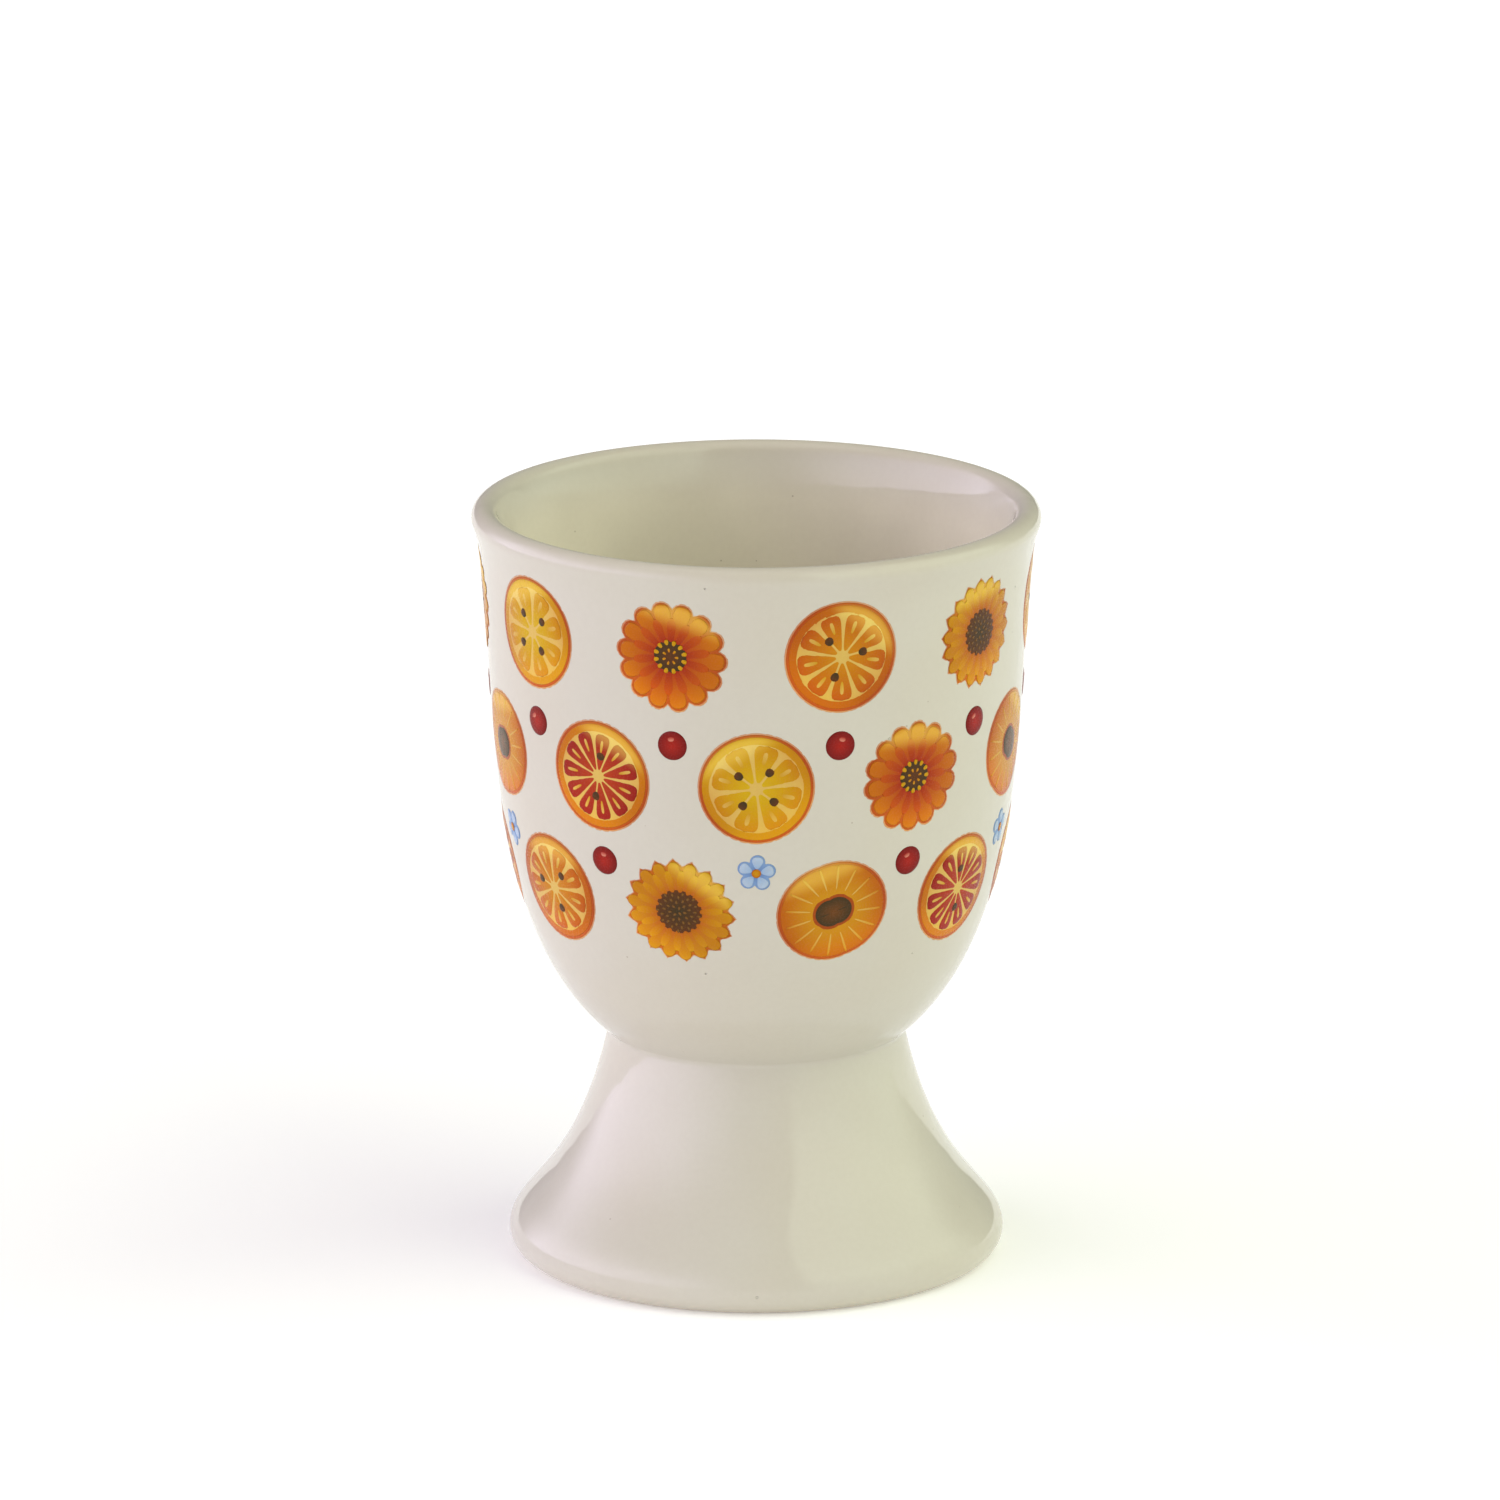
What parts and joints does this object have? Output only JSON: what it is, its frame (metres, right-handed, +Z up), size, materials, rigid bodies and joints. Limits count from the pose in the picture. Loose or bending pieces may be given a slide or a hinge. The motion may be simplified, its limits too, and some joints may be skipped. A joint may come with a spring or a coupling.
{
  "type": "egg cup",
  "caption": "Footed ceramic egg cup: a deep round bowl with a flared lip on a hollow flared foot, glazed inside and out and printed with fruit and flowers.",
  "frame": {"origin": "centre of the bare ring that the cup stands on, at table level", "axes": "+Z up along the cup's axis to the lip; -Y is the side seen in the picture, with +X to its right"},
  "size_m": [0.0493, 0.0492, 0.067],
  "materials": {
    "biscuit_clay": "fired white clay, bare and matt where it shows on the foot ring",
    "slip": "fired slip that lutes the bowl to the foot",
    "clear_glaze": "glossy cream-white glaze",
    "orange_enamel": "printed enamel, fired glossy",
    "sunflower_enamel": "printed enamel, fired glossy",
    "lemon_enamel": "printed enamel, fired glossy",
    "gerbera_enamel": "printed enamel, fired glossy",
    "apricot_enamel": "printed enamel, fired glossy",
    "grapefruit_enamel": "printed enamel, fired glossy",
    "berry_enamel": "printed enamel, fired glossy",
    "blossom_enamel": "printed enamel, fired glossy"
  },
  "bodies": {
    "root": {"bowl": "biscuit_clay", "foot": "biscuit_clay", "joining_slip": "slip", "glaze_coat": "clear_glaze", "cavity_glaze": "clear_glaze", "apricot_half_low_1": "apricot_enamel", "apricot_half_low_7": "apricot_enamel", "apricot_half_middle_3": "apricot_enamel", "apricot_half_middle_9": "apricot_enamel", "apricot_half_top_5": "apricot_enamel", "gerbera_low_6": "gerbera_enamel", "gerbera_middle_2": "gerbera_enamel", "gerbera_middle_8": "gerbera_enamel", "gerbera_top_10": "gerbera_enamel", "gerbera_top_4": "gerbera_enamel", "grapefruit_slice_low_2": "grapefruit_enamel", "grapefruit_slice_low_8": "grapefruit_enamel", "grapefruit_slice_middle_10": "grapefruit_enamel", "grapefruit_slice_middle_4": "grapefruit_enamel", "grapefruit_slice_top_6": "grapefruit_enamel", "lemon_slice_low_5": "lemon_enamel", "lemon_slice_middle_1": "lemon_enamel", "lemon_slice_middle_7": "lemon_enamel", "lemon_slice_top_3": "lemon_enamel", "lemon_slice_top_9": "lemon_enamel", "orange_slice_low_3": "orange_enamel", "orange_slice_low_9": "orange_enamel", "orange_slice_middle_5": "orange_enamel", "orange_slice_top_1": "orange_enamel", "orange_slice_top_7": "orange_enamel", "sunflower_low_10": "sunflower_enamel", "sunflower_low_4": "sunflower_enamel", "sunflower_middle_6": "sunflower_enamel", "sunflower_top_2": "sunflower_enamel", "sunflower_top_8": "sunflower_enamel", "red_berries": "berry_enamel", "blue_blossoms": "blossom_enamel"}
  },
  "joints": []
}
